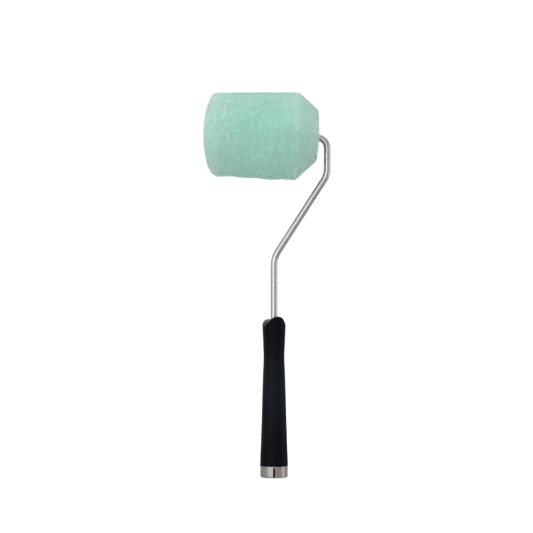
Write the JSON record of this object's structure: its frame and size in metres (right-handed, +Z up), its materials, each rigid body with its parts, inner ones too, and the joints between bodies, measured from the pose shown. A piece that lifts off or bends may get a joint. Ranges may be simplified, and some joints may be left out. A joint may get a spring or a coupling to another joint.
{
  "type": "paint roller",
  "caption": "Short paint roller with a deep-pile slip-on cover on a wire cage, a cranked steel rod and a two-material handle with a threaded pole socket.",
  "frame": {"origin": "centre of the pole socket's mouth, at the bottom of the handle", "axes": "+Z up along the handle towards the roller, +X towards the side where the rod enters the roller, +Y to the back"},
  "size_m": [0.122, 0.082, 0.3663],
  "materials": {
    "rod_steel": "bright zinc plate, fine drawn lines",
    "core_plastic": "gloss black",
    "grip_rubber": "satin soft-touch, blue-black",
    "ferrule_metal": "satin nickel plate",
    "insert_plastic": "satin black",
    "washer_steel": "zinc plate",
    "spring_steel": "dark spring steel",
    "cap_plastic": "satin black",
    "bush_plastic": "natural white",
    "wire_steel": "bright plated spring wire",
    "tube_plastic": "off-white tube",
    "backing_fabric": "knitted backing",
    "nap_fabric": "deep knitted pile, mint green"
  },
  "bodies": {
    "frame": {"frame_rod": "rod_steel", "handle_core": "core_plastic", "soft_grip": "grip_rubber", "ferrule": "ferrule_metal", "pole_insert": "insert_plastic", "inner_washer": "washer_steel", "outer_washer": "washer_steel", "push_nut": "spring_steel"},
    "cage": {"inner_end_cap": "cap_plastic", "outer_end_cap": "cap_plastic", "inner_bush": "bush_plastic", "outer_bush": "bush_plastic", "cage_wire_1": "wire_steel", "cage_wire_2": "wire_steel", "cage_wire_3": "wire_steel", "cage_wire_4": "wire_steel", "cage_wire_5": "wire_steel"},
    "cover": {"cover_core": "tube_plastic", "cover_backing": "backing_fabric", "cover_nap": "nap_fabric"}
  },
  "joints": [
    {"name": "roller_spin", "type": "hinge", "parent": "frame", "child": "cage", "pos_m": [0, 0, 0.3253], "axis": [1, 0, 0], "continuous": true},
    {"name": "cover_slide", "type": "slide", "parent": "cage", "child": "cover", "axis": [-1, 0, 0], "range_m": [0, 0.115]}
  ]
}
